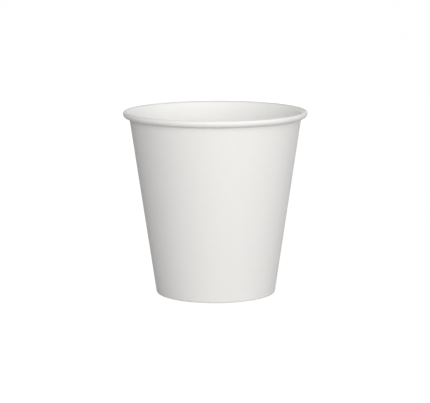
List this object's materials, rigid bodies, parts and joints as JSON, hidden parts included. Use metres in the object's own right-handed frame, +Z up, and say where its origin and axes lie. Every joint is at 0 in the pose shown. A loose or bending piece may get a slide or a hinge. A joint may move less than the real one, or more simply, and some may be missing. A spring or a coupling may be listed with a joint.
{
  "type": "paper coffee cup",
  "caption": "Tapered paperboard hot cup with a rolled rim, a lapped side seam and a recessed bottom disc gripped in a folded foot.",
  "frame": {"origin": "on the cup's axis, on the plane that the foot rests on", "axes": "+Z up the cup's axis to the rim; the viewer of the picture looks along +Y; the inner lap's cut edge is 18.5 degrees from +X towards +Y"},
  "size_m": [0.09, 0.09, 0.0896],
  "materials": {
    "wall_board": "matte white paperboard, coated inside",
    "disc_board": "white paperboard, coated on its upper face"
  },
  "bodies": {
    "root": {"side_wall": "wall_board", "bottom_disc": "disc_board"}
  },
  "joints": []
}
